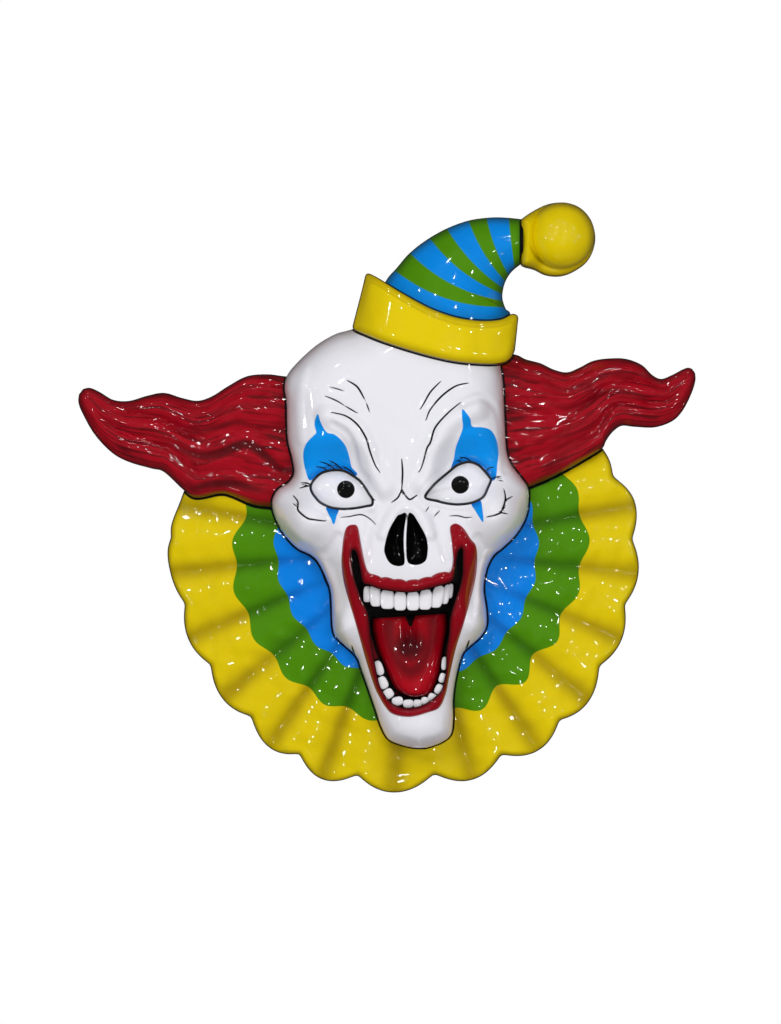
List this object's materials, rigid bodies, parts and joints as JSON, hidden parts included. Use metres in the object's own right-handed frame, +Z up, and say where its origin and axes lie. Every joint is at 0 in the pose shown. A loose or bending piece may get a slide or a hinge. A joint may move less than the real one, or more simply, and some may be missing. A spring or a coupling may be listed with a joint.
{
  "type": "clown wall plaque",
  "caption": "Moulded relief wall decoration: a grinning skull-like clown face with a curled striped hat, swept hair and a pleated ruff, flat behind with keyhole hangers.",
  "frame": {"origin": "on the flat back, where it lies on the wall, between the eyes and the nose in front view", "axes": "+Z up, +X to the right in front view, +Y into the wall; the relief stands out towards -Y"},
  "size_m": [1.198, 0.216, 1.1464],
  "materials": {
    "painted_fibreglass": "hand-painted fibreglass under high gloss clear coat: white face, red hair and lips, yellow, green and blue ruff and hat, black brush lines"
  },
  "bodies": {
    "root": {"clown_wall_plaque": "painted_fibreglass"}
  },
  "joints": []
}
